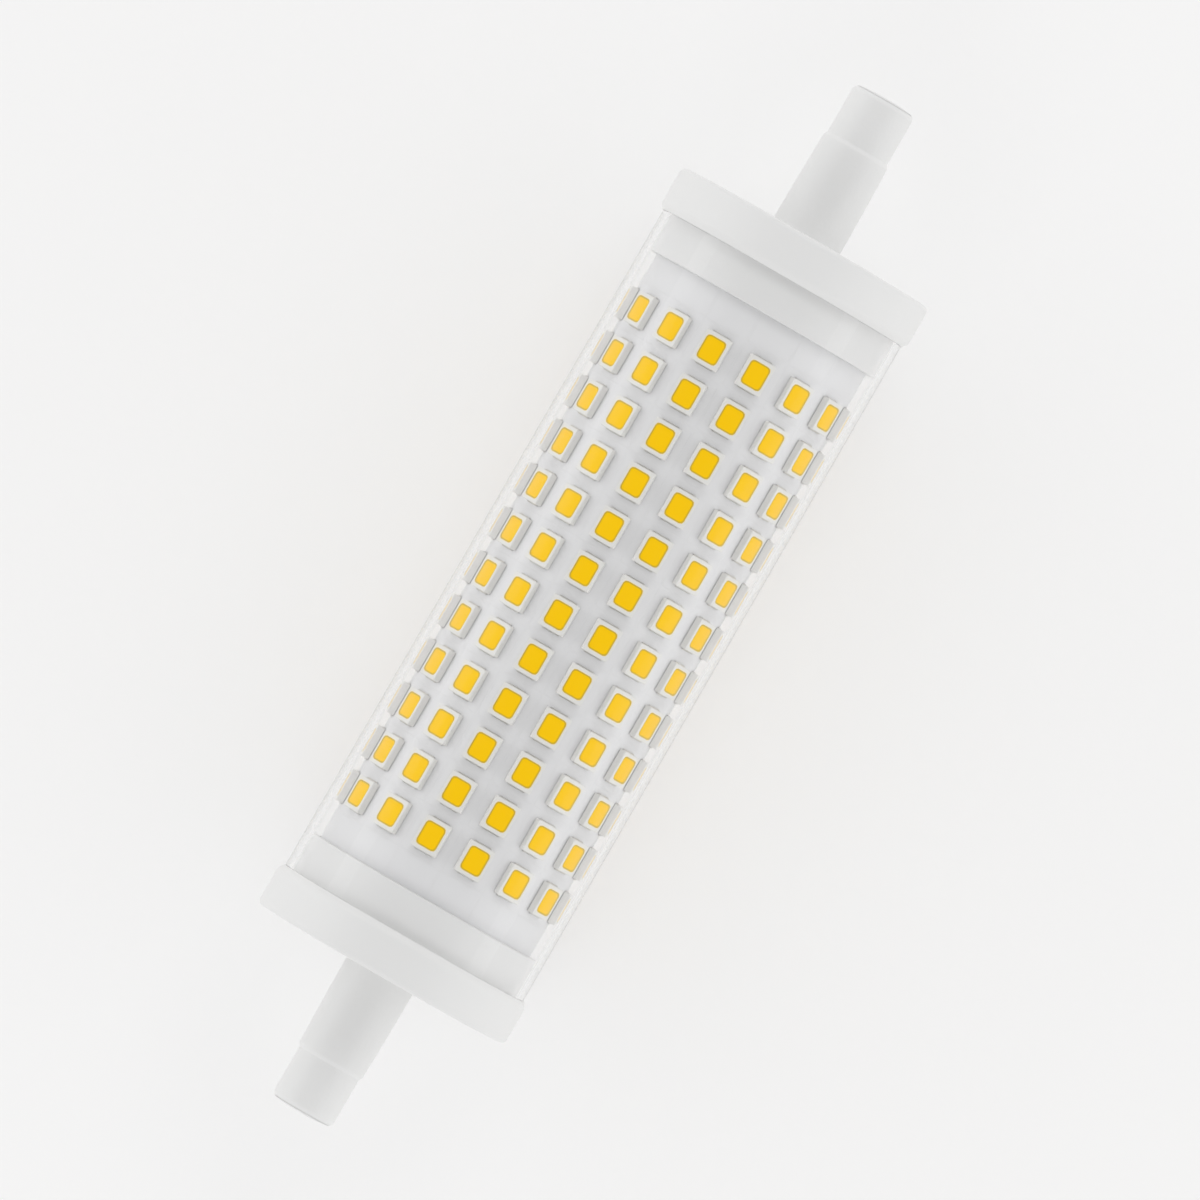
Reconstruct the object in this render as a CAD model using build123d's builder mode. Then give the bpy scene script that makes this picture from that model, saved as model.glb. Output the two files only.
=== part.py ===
"""Linear LED lamp, double ended, with a recessed contact in each tip.

The lamp lies along X, with its middle at the origin and the seam of its LED board at the bottom.
A "reach" is the distance from the tip of an end cap towards the middle of the lamp.
Sizes are in millimetres.
"""

import os
from math import hypot, sqrt

from build123d import *

# Whole lamp
lamp_length = 118.0
half_length = lamp_length / 2

# Tip and neck of an end cap
tip_diameter = 6.9
tip_length = 5.6
tip_crown = 0.2
tip_edge_chamfer = 0.4
shoulder_length = 1.0
neck_diameter = 7.35
neck_root_diameter = 7.66
neck_bulge = 0.03
neck_length = 9.58

# Flange and plug-in collar of an end cap
flange_length = 4.72
flange_overhang = 0.49
flange_edge_chamfer = 0.4
flange_chamfer_length = 0.6
flange_step = 0.07
collar_length = 4.2
collar_clearance = 0.06

# Inside of an end cap, with the guides for the driver board
face_wall = 1.8
neck_bore_diameter = 4.8
guide_length = 3.0
guide_width = 3.0
guide_thickness = 1.4
guide_spacing = 16.0
guide_clearance = 0.1

# Contact pin, its head in a pocket at the bottom of the recess in the tip
contact_depth = 1.9
recess_diameter = 3.6
pin_head_diameter = 3.0
pin_head_thickness = 0.5
pin_head_clearance = 0.05
pin_head_sink = 0.1
pin_shank_width = 1.6
pin_shank_clearance = 0.05
pin_floor_thickness = 3.6
pin_tail_length = 2.0

# LED packages
led_columns = 16
led_pitch = 5.108
led_length = 3.5
led_width = 2.8
led_height = 0.66
window_end_rim = 0.41
window_side_rim = 0.285
phosphor_height = 0.04
led_end_margin = 2.5

# LED board, rolled to a tube
board_diameter = 24.34
board_thickness = 0.8
board_seam = 1.2
board_fit = 0.1

# Clear tube
tube_wall = 0.8
led_to_tube = 0.114

# Mains leads, and the flat LED leads with their solder joints
mains_lead_diameter = 1.2
mains_lead_overlap = 9.0
led_lead_width = 1.0
led_lead_thickness = 0.5
led_lead_proud = 0.15
solder_length = 1.4
solder_width = 1.5
solder_height = 0.3

# Driver board
driver_thickness = 1.2
driver_side_clearance = 0.15
driver_end_clearance = 0.2

# Parts on top of the driver board
part_gap = 1.6
fuse_length = 8.5
fuse_diameter = 3.2
film_length = 10.0
film_width = 5.0
film_height = 7.5
choke_diameter = 7.5
choke_height = 8.0
ferrite_depth = 4.5
ferrite_width = 9.6
ferrite_height = 8.0
ferrite_leg = 2.6
ferrite_yoke = 1.4
winding_clearance = 0.1
can_length = 12.0
can_diameter = 8.0

# Parts under the driver board
rectifier_length = 4.7
rectifier_width = 3.9
rectifier_height = 2.4
chip_length = 4.9
chip_width = 3.9
chip_height = 1.5
diode_length = 4.3
diode_width = 2.6
diode_height = 2.2
underside_gap = 8.0

# Radii that follow from the stack of parts, from the LED board outwards and inwards
board_radius = board_diameter / 2
package_top = board_radius + led_height
phosphor_top = package_top + phosphor_height
tube_inner_radius = hypot(phosphor_top, led_width / 2) + led_to_tube
tube_outer_radius = tube_inner_radius + tube_wall
flange_radius = tube_outer_radius + flange_overhang
collar_radius = tube_inner_radius - collar_clearance
collar_bore_radius = board_radius + board_fit
board_inner_radius = board_radius - board_thickness

# Radii of an end cap and its pin
tip_radius = tip_diameter / 2
neck_radius = neck_diameter / 2
neck_root_radius = neck_root_diameter / 2
recess_radius = recess_diameter / 2
neck_bore_radius = neck_bore_diameter / 2
pin_head_radius = pin_head_diameter / 2
head_pocket_radius = pin_head_radius + pin_head_clearance

# Reaches along an end cap
neck_start = tip_length + shoulder_length
face_reach = neck_start + neck_length
flange_end = face_reach + flange_length
collar_end = flange_end + collar_length
inner_face = face_reach + face_wall
recess_depth = contact_depth - pin_head_sink
pocket_floor = contact_depth + pin_head_thickness
neck_bore_start = pocket_floor + pin_floor_thickness
pin_end = neck_bore_start + pin_tail_length

# Lengths between the two end caps
tube_length = lamp_length - 2 * flange_end
board_length = lamp_length - 2 * inner_face
clear_length = lamp_length - 2 * collar_end
led_rows = int((clear_length - 2 * led_end_margin) / led_pitch)
driver_length = board_length - 2 * driver_end_clearance

# Driver board: its top carries the mains leads on the lamp's axis
driver_top = -mains_lead_diameter / 2
driver_bottom = driver_top - driver_thickness
driver_half_width = sqrt(board_inner_radius**2 - driver_bottom**2) - driver_side_clearance

# LED leads: straight down from the driver board and out through the seam of the LED board, one on
# either side of the last package, so that their solder joints lie in the gaps of the LED line
led_lead_middle = (led_rows - 1) * led_pitch / 2
led_lead_end = board_radius + led_lead_proud


def along(reach):
    """X of a place on the right-hand end cap."""
    return half_length - reach


def keep(piece, name):
    """Labels a finished piece and writes it."""
    piece.label = name
    export_step(piece, f"parts/{name}.step")


os.makedirs("parts", exist_ok=True)

# End caps: one moulding with a tip, neck, flange, plug-in collar and guides for the driver board
neck_middle = (neck_start + face_reach) / 2
neck_middle_radius = (neck_radius + neck_root_radius) / 2 + neck_bulge

with BuildPart() as right_end_cap:
    with BuildSketch(Plane.XZ) as cap_section:
        with BuildLine():
            Polyline(
                (along(0), recess_radius),
                (along(tip_crown), tip_radius),
                (along(tip_length), tip_radius),
                (along(neck_start), neck_radius),
            )
            ThreePointArc(
                (along(neck_start), neck_radius),
                (along(neck_middle), neck_middle_radius),
                (along(face_reach), neck_root_radius),
            )
            Polyline(
                (along(face_reach), neck_root_radius),
                (along(face_reach), flange_radius),
                (along(flange_end - flange_chamfer_length), flange_radius),
                (along(flange_end), tube_outer_radius + flange_step),
                (along(flange_end), collar_radius),
                (along(collar_end), collar_radius),
                (along(collar_end), collar_bore_radius),
                (along(inner_face), collar_bore_radius),
                (along(inner_face), neck_bore_radius),
                (along(neck_bore_start), neck_bore_radius),
                (along(neck_bore_start), 0),
                (along(pocket_floor), 0),
                (along(pocket_floor), head_pocket_radius),
                (along(recess_depth), head_pocket_radius),
                (along(recess_depth), recess_radius),
                (along(0), recess_radius),
            )
        make_face()
        tip_corner = cap_section.vertices().sort_by_distance((along(tip_crown), tip_radius))[0]
        chamfer(tip_corner, tip_edge_chamfer)
        flange_corner = cap_section.vertices().sort_by_distance((along(face_reach), flange_radius))[0]
        chamfer(flange_corner, flange_edge_chamfer)
    revolve(axis=Axis.X)
    # Square hole for the pin's shank
    with BuildSketch(Plane.YZ.offset(along(pocket_floor))):
        Rectangle(pin_shank_width + 2 * pin_shank_clearance, pin_shank_width + 2 * pin_shank_clearance)
    extrude(amount=-pin_floor_thickness, mode=Mode.SUBTRACT)
    # Two ribs above and two below each end of the driver board
    with BuildSketch(Plane.YZ.offset(along(inner_face))):
        with Locations((0, (driver_top + driver_bottom) / 2)):
            with GridLocations(guide_spacing, driver_thickness + guide_clearance + guide_thickness, 2, 2):
                Rectangle(guide_width, guide_thickness)
    extrude(amount=-guide_length)

with BuildPart() as left_end_cap:
    add(right_end_cap.part.rotate(Axis.Z, 180))

keep(right_end_cap.part, "right_end_cap")
keep(left_end_cap.part, "left_end_cap")

# Contact pins: a flat round head in its pocket below the recess, and a square shank through the tip
# that keeps the pin from turning
with BuildPart() as right_contact_pin:
    with BuildSketch(Plane.YZ.offset(along(contact_depth))):
        Circle(pin_head_radius)
    extrude(amount=-pin_head_thickness)
    with BuildSketch(Plane.YZ.offset(along(pocket_floor))):
        Rectangle(pin_shank_width, pin_shank_width)
    extrude(amount=pocket_floor - pin_end)

with BuildPart() as left_contact_pin:
    add(right_contact_pin.part.rotate(Axis.Z, 180))

keep(right_contact_pin.part, "right_contact_pin")
keep(left_contact_pin.part, "left_contact_pin")

# Clear tube, butted between the two flanges
with BuildPart() as clear_tube:
    with BuildSketch(Plane.YZ.offset(-tube_length / 2)):
        Circle(tube_outer_radius)
        Circle(tube_inner_radius, mode=Mode.SUBTRACT)
    extrude(amount=tube_length)

keep(clear_tube.part, "clear_tube")

# LED board: one thin board rolled to a tube, its two edges facing each other at the bottom
with BuildPart() as led_board:
    with BuildSketch(Plane.YZ.offset(-board_length / 2)):
        Circle(board_radius)
        Circle(board_inner_radius, mode=Mode.SUBTRACT)
        with Locations((0, -board_radius)):
            Rectangle(board_seam, board_radius, mode=Mode.SUBTRACT)
    extrude(amount=board_length)

keep(led_board.part, "led_board")

# One LED package and the phosphor in its window, on the board at the middle of the lamp
with BuildPart() as package_body:
    with BuildSketch(Plane.XY.offset(board_radius)):
        Rectangle(led_length, led_width)
    extrude(amount=led_height)

with BuildPart() as package_phosphor:
    with BuildSketch(Plane.XY.offset(package_top)):
        Rectangle(led_length - 2 * window_end_rim, led_width - 2 * window_side_rim)
    extrude(amount=phosphor_height)

# Lines of LEDs along the lamp, evenly all round the board
for column in range(led_columns):
    turn = (column + 0.5) * 360 / led_columns
    with BuildPart() as body_line:
        with GridLocations(led_pitch, 0, led_rows, 1):
            add(package_body.part)
    with BuildPart() as phosphor_line:
        with GridLocations(led_pitch, 0, led_rows, 1):
            add(package_phosphor.part)
    keep(body_line.part.rotate(Axis.X, turn), f"led_bodies_{column + 1:02d}")
    keep(phosphor_line.part.rotate(Axis.X, turn), f"led_phosphor_{column + 1:02d}")

# Driver board, with its two ends between the guides of the end caps
with BuildPart() as driver_board:
    with BuildSketch(Plane.XY.offset(driver_bottom)):
        Rectangle(driver_length, 2 * driver_half_width)
    extrude(amount=driver_thickness)

keep(driver_board.part, "driver_board")

# Mains leads, straight from each contact pin to the top of the driver board
with BuildPart() as right_mains_lead:
    with BuildSketch(Plane.YZ.offset(along(pin_end))):
        Circle(mains_lead_diameter / 2)
    extrude(amount=pin_end - inner_face - mains_lead_overlap)

with BuildPart() as left_mains_lead:
    add(right_mains_lead.part.rotate(Axis.Z, 180))

keep(right_mains_lead.part, "right_mains_lead")
keep(left_mains_lead.part, "left_mains_lead")

# LED leads, and the solder joints that tie them to the board on either side of its seam
solder_middle = (led_lead_thickness + solder_width) / 2

for side, name in ((-1, "led_lead_minus"), (1, "led_lead_plus")):
    with BuildPart() as led_lead:
        with BuildSketch(Plane.XY.offset(driver_bottom)):
            with Locations((led_lead_middle + side * led_pitch / 2, 0)):
                Rectangle(led_lead_width, led_lead_thickness)
        extrude(amount=-(led_lead_end + driver_bottom))
    keep(led_lead.part, name)

with BuildPart() as led_solder_joints:
    with BuildSketch(Plane.XY.offset(-(board_radius + solder_height))):
        for side in (-1, 1):
            with Locations((led_lead_middle + side * led_pitch / 2, side * solder_middle)):
                Rectangle(solder_length, solder_width)
    extrude(amount=2 * solder_height)
    # The board's own round surface is the seat of the joints
    with BuildSketch(Plane.YZ):
        Circle(board_radius)
    extrude(amount=half_length, mode=Mode.SUBTRACT)

keep(led_solder_joints.part, "led_solder_joints")

# Row of parts on top of the driver board, from the left: each starts a gap after the last
winding_wall = (ferrite_width - ferrite_leg) / 2 - ferrite_yoke - winding_clearance
inductor_length = ferrite_depth + 2 * winding_wall
row_length = fuse_length + film_length + choke_diameter + inductor_length + can_length + 4 * part_gap
fuse_start = -row_length / 2
film_start = fuse_start + fuse_length + part_gap
choke_start = film_start + film_length + part_gap
inductor_start = choke_start + choke_diameter + part_gap
can_start = inductor_start + inductor_length + part_gap

# Fuse resistor, lying on the board
with BuildPart() as fuse_resistor:
    with BuildSketch(Plane.YZ.offset(fuse_start)):
        with Locations((0, driver_top + fuse_diameter / 2)):
            Circle(fuse_diameter / 2)
    extrude(amount=fuse_length)

keep(fuse_resistor.part, "fuse_resistor")

# Film capacitor: a plain box
with BuildPart() as film_capacitor:
    with BuildSketch(Plane.XY.offset(driver_top)):
        with Locations((film_start + film_length / 2, 0)):
            Rectangle(film_length, film_width)
    extrude(amount=film_height)

keep(film_capacitor.part, "film_capacitor")

# Filter choke: a drum in a shrunk sleeve
with BuildPart() as filter_choke:
    with BuildSketch(Plane.XY.offset(driver_top)):
        with Locations((choke_start + choke_diameter / 2, 0)):
            Circle(choke_diameter / 2)
    extrude(amount=choke_height)

keep(filter_choke.part, "filter_choke")

# Power inductor: a ferrite core with a middle leg, and the winding round that leg
inductor_middle = inductor_start + inductor_length / 2
window_height = ferrite_height - 2 * ferrite_yoke
window_breadth = winding_wall + winding_clearance

with BuildPart() as inductor_core:
    with BuildSketch(Plane.YZ.offset(inductor_middle - ferrite_depth / 2)):
        with Locations((0, driver_top + ferrite_height / 2)):
            Rectangle(ferrite_width, ferrite_height)
            with GridLocations(ferrite_leg + window_breadth, 0, 2, 1):
                Rectangle(window_breadth, window_height, mode=Mode.SUBTRACT)
    extrude(amount=ferrite_depth)

with BuildPart() as inductor_winding:
    with BuildSketch(Plane.XY.offset(driver_top + ferrite_yoke)):
        with Locations((inductor_middle, 0)):
            Rectangle(inductor_length, ferrite_leg + 2 * winding_wall)
            Rectangle(ferrite_depth, ferrite_leg, mode=Mode.SUBTRACT)
    extrude(amount=window_height - winding_clearance)

keep(inductor_core.part, "inductor_core")
keep(inductor_winding.part, "inductor_winding")

# Electrolytic capacitor: a can lying on the board
with BuildPart() as electrolytic_capacitor:
    with BuildSketch(Plane.YZ.offset(can_start)):
        with Locations((0, driver_top + can_diameter / 2)):
            Circle(can_diameter / 2)
    extrude(amount=can_length)

keep(electrolytic_capacitor.part, "electrolytic_capacitor")

# Moulded parts under the driver board: name, length, width and height
moulded_parts = [
    ("bridge_rectifier", rectifier_length, rectifier_width, rectifier_height),
    ("driver_chip", chip_length, chip_width, chip_height),
    ("output_diode", diode_length, diode_width, diode_height),
]
start = -(rectifier_length + chip_length + diode_length + 2 * underside_gap) / 2

for name, length, width, height in moulded_parts:
    with BuildPart() as moulded_part:
        with BuildSketch(Plane.XY.offset(driver_bottom)):
            with Locations((start + length / 2, 0)):
                Rectangle(length, width)
        extrude(amount=-height)
    keep(moulded_part.part, name)
    start += length + underside_gap
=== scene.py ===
# %% [markdown]
# A double-ended LED lamp. A white board is rolled to a tube and carries 192 small yellow LED packages. A
# clear tube covers them, and two white end caps with narrow necks close it. The part's solids are already
# drawn and packed, so this file only dresses them: it models the rounded mouldings and the packages finely,
# gives every piece a finish, and sets up a floor, lights and a camera. Loading the frame comes first,
# because every piece takes its place from it.

from math import asin, copysign, cos, hypot, pi, radians, sin, sqrt

import bmesh
import bpy
from mathutils import Matrix, Vector


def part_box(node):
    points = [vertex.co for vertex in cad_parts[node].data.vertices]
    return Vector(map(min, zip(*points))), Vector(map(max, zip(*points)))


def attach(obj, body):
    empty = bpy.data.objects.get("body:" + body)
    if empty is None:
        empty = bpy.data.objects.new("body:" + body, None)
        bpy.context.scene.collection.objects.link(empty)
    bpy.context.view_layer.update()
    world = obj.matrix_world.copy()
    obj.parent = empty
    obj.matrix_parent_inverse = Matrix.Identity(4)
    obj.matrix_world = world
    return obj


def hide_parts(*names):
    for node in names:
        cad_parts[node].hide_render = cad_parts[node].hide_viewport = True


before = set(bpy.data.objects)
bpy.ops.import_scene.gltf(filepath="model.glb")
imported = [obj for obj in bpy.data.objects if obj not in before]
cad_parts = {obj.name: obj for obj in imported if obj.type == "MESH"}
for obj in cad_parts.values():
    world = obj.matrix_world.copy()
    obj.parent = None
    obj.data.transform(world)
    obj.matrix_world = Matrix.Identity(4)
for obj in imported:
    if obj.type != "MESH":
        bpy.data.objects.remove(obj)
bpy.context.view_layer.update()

# %% [markdown]
# Blender counts in metres, and a lamp is easier to think about in millimetres. Each mesh is therefore
# shaped in millimetres and scaled once, when its piece is finished. The main sizes are read from the frame,
# so that the dressed lamp follows the solids: the lamp lies along X, its middle is at the origin, and Z
# points up.

# %% Main sizes, in millimetres
MM = 0.001


def node_box(node):
    """Lowest and highest corner of a solid, in millimetres."""
    low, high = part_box(node)
    return Vector(low) / MM, Vector(high) / MM


half_lamp = node_box("right_end_cap")[1].x
collar_end = node_box("right_end_cap")[0].x
flange_radius = node_box("right_end_cap")[1].z
tube_half = node_box("clear_tube")[1].x
tube_radius = node_box("clear_tube")[1].z
board_half = node_box("led_board")[1].x
board_radius = node_box("led_board")[1].z
print("lamp", 2 * half_lamp, "flange", 2 * flange_radius, "tube", 2 * tube_radius, "board", 2 * board_radius)

# %% [markdown]
# Every piece ends in the same way: its mesh is scaled to metres, its faces are shaded smooth except across
# sharp edges, it is tied to the lamp's one body, the solids that it stands for are hidden, and it gets its
# finish. Smooth shading blends the normals of a wide face into those of the narrow bevel beside it, and
# then the wide face looks bent: a clear tube even sends its light astray. A Weighted Normal modifier lets
# the widest face decide, so walls stay true and only the bevels turn. Solids that are already right keep
# their mesh and only get a finish.

# %% Finish a piece
SHARP_ANGLE = radians(32)


def finish_piece(name, bm, materials, nodes=()):
    """Makes an object of a mesh that was shaped in millimetres, and ties it to the lamp."""
    bmesh.ops.scale(bm, vec=(MM, MM, MM), verts=bm.verts)
    mesh = bpy.data.meshes.new(name)
    bm.to_mesh(mesh)
    bm.free()
    mesh.shade_smooth()
    mesh.set_sharp_from_angle(angle=SHARP_ANGLE)
    for material in materials:
        mesh.materials.append(material)
    piece = bpy.data.objects.new(name, mesh)
    bpy.context.collection.objects.link(piece)
    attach(piece, "root")
    if nodes:
        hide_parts(*nodes)
    normals = piece.modifiers.new("True walls", "WEIGHTED_NORMAL")
    normals.mode = "FACE_AREA"
    normals.keep_sharp = True
    print(name, "faces", len(mesh.polygons))
    return piece


def finish_solid(node, material):
    """Gives a solid that keeps its own mesh its finish."""
    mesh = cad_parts[node].data
    mesh.materials.clear()
    mesh.materials.append(material)
    print(node, "gets", material.name)


# %% [markdown]
# A finish is a small graph of nodes. Helpers keep the graphs short to write. One adds a node with its
# settings and feeds its inputs, with another node's output or a plain value. The others make what many
# graphs need: a sum or product, the place of a point, a blend of two colours, a material with its
# Principled shader, and a group.

# %% Helpers for node graphs
def feed(tree, socket, value):
    """Links an input to another node's output, or gives it a plain value."""
    if isinstance(value, bpy.types.NodeSocket):
        tree.links.new(value, socket)
    else:
        socket.default_value = value


def feed_all(tree, node, inputs):
    """Feeds inputs by name. An underscore stands for a space."""
    for name, value in inputs.items():
        feed(tree, node.inputs[name.replace("_", " ")], value)


def add_node(tree, kind, settings=None, **inputs):
    """Adds a node, gives it its settings and feeds its inputs."""
    node = tree.nodes.new(kind)
    for name, value in (settings or {}).items():
        setattr(node, name, value)
    feed_all(tree, node, inputs)
    return node


def add_math(tree, operation, *values):
    """The result of a Math node on one or two sockets or numbers."""
    node = add_node(tree, "ShaderNodeMath", {"operation": operation})
    for socket, value in zip(node.inputs, values):
        feed(tree, socket, value)
    return node.outputs[0]


def object_place(tree):
    """The place of each point on its piece, in metres."""
    return add_node(tree, "ShaderNodeTexCoord").outputs["Object"]


def axes_of(tree, vector):
    """The X, Y and Z of a vector, as sockets."""
    return add_node(tree, "ShaderNodeSeparateXYZ", Vector=vector).outputs


def add_blend(tree, share, first, second):
    """A blend of two colours."""
    blend = add_node(tree, "ShaderNodeMix", {"data_type": "RGBA"}, Factor=share, A=first, B=second)
    return blend.outputs["Result"]


def add_band(tree, mask, least, most):
    """A mask stretched to a band of values, such as roughness."""
    return add_node(tree, "ShaderNodeMapRange", Value=mask, To_Min=least, To_Max=most).outputs["Result"]


def new_material(name, **values):
    """Starts a material. Returns it, its tree and its Principled shader, which gets the plain values."""
    material = bpy.data.materials.new(name)
    material.use_nodes = True
    tree = material.node_tree
    shader = tree.nodes["Principled BSDF"]
    feed_all(tree, shader, values)
    return material, tree, shader


def new_group(name, inputs, outputs):
    """Starts a node group. Returns its tree, what it is given and what it makes, both as sockets."""
    group = bpy.data.node_groups.new(name, "ShaderNodeTree")
    for label, kind, value in inputs:
        group.interface.new_socket(label, in_out="INPUT", socket_type=kind).default_value = value
    for label, kind in outputs:
        group.interface.new_socket(label, in_out="OUTPUT", socket_type=kind)
    entry = add_node(group, "NodeGroupInput")
    result = add_node(group, "NodeGroupOutput")
    return group, entry.outputs, result.inputs


print("helpers for node graphs are ready")

# %% [markdown]
# Moulded plastic, resin and solder mask are never one even colour. Up close they have a fine grain in their
# gloss and height, and a slow drift in their colour. One group makes all three from two noises on Object
# coordinates, so that the grain keeps its real size on every piece. Each material gives it its own values.

# %% Group for the grain of a moulded surface
def make_grain_group():
    """Two colours, a band of roughness and a bump, all from noise of a stated size in metres."""
    group, given, made = new_group(
        "moulded_grain",
        [
            ("Colour", "NodeSocketColor", (0.8, 0.8, 0.8, 1)),
            ("Second Colour", "NodeSocketColor", (0.7, 0.7, 0.7, 1)),
            ("Drift Size", "NodeSocketFloat", 0.01),
            ("Grain Size", "NodeSocketFloat", 0.0004),
            ("Grain Height", "NodeSocketFloat", 0.00001),
            ("Least Roughness", "NodeSocketFloat", 0.35),
            ("Most Roughness", "NodeSocketFloat", 0.5),
        ],
        [("Colour", "NodeSocketColor"), ("Roughness", "NodeSocketFloat"), ("Normal", "NodeSocketVector")],
    )
    place = object_place(group)
    noises = []
    for size, detail in (("Drift Size", 3), ("Grain Size", 2)):
        scale = add_math(group, "DIVIDE", 1.0, given[size])
        noise = add_node(group, "ShaderNodeTexNoise", Vector=place, Scale=scale, Detail=detail)
        noises.append(noise.outputs["Fac"])
    drift, grain = noises
    bump = add_node(group, "ShaderNodeBump", Height=grain, Distance=given["Grain Height"])
    feed(group, made["Colour"], add_blend(group, drift, given["Colour"], given["Second Colour"]))
    feed(group, made["Roughness"], add_band(group, grain, given["Least Roughness"], given["Most Roughness"]))
    feed(group, made["Normal"], bump.outputs["Normal"])
    return group


grain_group = make_grain_group()
print("group", grain_group.name)

# %% [markdown]
# Two effects lie on top of that grain in some finishes. A relief is pressed into the surface where a mask
# is 1, by a Bump node that starts from the grain's own normal, and a paint covers the grain's colour in the
# same way.

# %% Grained materials
def grained(name, colour, second_colour, roughness, grain=(0.4, 0.01), drift=8.0, **values):
    """A material with the moulded grain. Its size and height, and the drift's size, are in millimetres."""
    material, tree, shader = new_material(name, **values)
    made = add_node(
        tree,
        "ShaderNodeGroup",
        {"node_tree": grain_group},
        Colour=(*colour, 1),
        Second_Colour=(*second_colour, 1),
        Drift_Size=drift * MM,
        Grain_Size=grain[0] * MM,
        Grain_Height=grain[1] * MM,
        Least_Roughness=roughness[0],
        Most_Roughness=roughness[1],
    ).outputs
    feed(tree, shader.inputs["Base Color"], made["Colour"])
    for effect in ("Roughness", "Normal"):
        feed(tree, shader.inputs[effect], made[effect])
    return material


def add_relief(material, mask, depth):
    """Presses a mask into a grained surface, to a depth in millimetres."""
    tree = material.node_tree
    normal = tree.nodes["Principled BSDF"].inputs["Normal"]
    below = normal.links[0].from_socket
    relief = add_node(
        tree, "ShaderNodeBump", {"invert": True}, Height=mask, Distance=depth * MM, Normal=below
    )
    feed(tree, normal, relief.outputs["Normal"])


def paint_over(material, mask, paint):
    """Covers a grained surface with a colour where the mask is 1."""
    tree = material.node_tree
    colour = tree.nodes["Principled BSDF"].inputs["Base Color"]
    feed(tree, colour, add_blend(tree, mask, colour.links[0].from_socket, paint))


cap_white = grained("cap_white", (0.82, 0.82, 0.815), (0.79, 0.79, 0.785), (0.36, 0.46), drift=14)
print("finish", cap_white.name)

# %% [markdown]
# The camera looks straight down on the lamp with a very long lens, because the reference view is square on
# to the lamp and shows no perspective. The lamp stands at 60 degrees in the picture. The picture's frame is
# 1200 pixels wide, and a pixel is a known part of a millimetre, which gives the frame's real width. The
# view transform is set to Standard, so that a colour reaches the picture as it is written in its material.

# %% Camera
PIXELS_PER_MM = 9.919
PICTURE_WIDTH = 1200
LAMP_CENTRE_PIXEL = Vector((593.3, 605.6))
LAMP_SLANT = radians(60)
CAMERA_HEIGHT = 2000
NEAREST_SEEN, FARTHEST_SEEN = 0.1, 20

camera_data = bpy.data.cameras.new("camera")
camera = bpy.data.objects.new("camera", camera_data)
bpy.context.collection.objects.link(camera)
picture_right = Vector((cos(LAMP_SLANT), -sin(LAMP_SLANT), 0))
picture_up = Vector((sin(LAMP_SLANT), cos(LAMP_SLANT), 0))
middle_pixel = Vector((PICTURE_WIDTH / 2, PICTURE_WIDTH / 2))
offset = (middle_pixel - LAMP_CENTRE_PIXEL) / PIXELS_PER_MM
aim = offset.x * picture_right - offset.y * picture_up
camera.location = (aim + Vector((0, 0, CAMERA_HEIGHT))) * MM
camera.rotation_euler = (0, 0, -LAMP_SLANT)
camera_data.lens = camera_data.sensor_width * CAMERA_HEIGHT * PIXELS_PER_MM / PICTURE_WIDTH
camera_data.clip_start, camera_data.clip_end = NEAREST_SEEN, FARTHEST_SEEN
bpy.context.scene.camera = camera
bpy.context.scene.view_settings.view_transform = "Standard"
print("lens", round(camera_data.lens, 1), "aim", aim)

# %% [markdown]
# A finish can look different to different rays of light: to the camera's, or to those that a lamp casts.
# The Light Path node tells them apart, and a Mix Shader node brings a second shader in for some of them
# only.

# %% Helpers for rays
def ray_mask(tree, *kinds):
    """1 for these kinds of rays, and 0 for all others."""
    path = add_node(tree, "ShaderNodeLightPath").outputs
    mask = path[kinds[0]]
    for kind in kinds[1:]:
        mask = add_math(tree, "MAXIMUM", mask, path[kind])
    return mask


def mix_in(material, share, other):
    """Mixes a second shader into a material, by a share."""
    tree = material.node_tree
    mix = add_node(tree, "ShaderNodeMixShader")
    for socket, value in zip(mix.inputs, (share, tree.nodes["Principled BSDF"].outputs[0], other.outputs[0])):
        feed(tree, socket, value)
    feed(tree, tree.nodes["Material Output"].inputs["Surface"], mix.outputs[0])


print("helpers for rays are ready")

# %% [markdown]
# The lamp rests on its two flanges on a plain pale floor. A white lamp needs a floor that is whiter still,
# or its outline is lost. More light would burn out the lamp too, so the floor's paint is mixed with an even
# white that only the camera, mirrors and clear plastic see. It lights nothing, and the lamp's soft shadow
# stays.

# %% Floor
FLOOR_WIDTH, FLOOR_WHITENESS = 6000, 0.5


def make_floor_paint():
    """Matt pale paint that looks whiter than it lights."""
    material = grained("floor_paint", (0.93, 0.925, 0.92), (0.91, 0.905, 0.90), (0.7, 0.8), (2, 0.01), 90)
    tree = material.node_tree
    seen = ray_mask(tree, "Is Camera Ray", "Is Glossy Ray", "Is Transmission Ray")
    mix_in(material, add_math(tree, "MULTIPLY", seen, FLOOR_WHITENESS), add_node(tree, "ShaderNodeEmission"))
    return material


bm = bmesh.new()
bmesh.ops.create_grid(bm, x_segments=1, y_segments=1, size=FLOOR_WIDTH / 2)
bmesh.ops.translate(bm, vec=(0, 0, -flange_radius), verts=bm.verts)
bmesh.ops.scale(bm, vec=(MM, MM, MM), verts=bm.verts)
floor_mesh = bpy.data.meshes.new("floor")
bm.to_mesh(floor_mesh)
bm.free()
floor_mesh.materials.append(make_floor_paint())
floor = bpy.data.objects.new("floor", floor_mesh)
bpy.context.collection.objects.link(floor)
print("floor at", -flange_radius)

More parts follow.
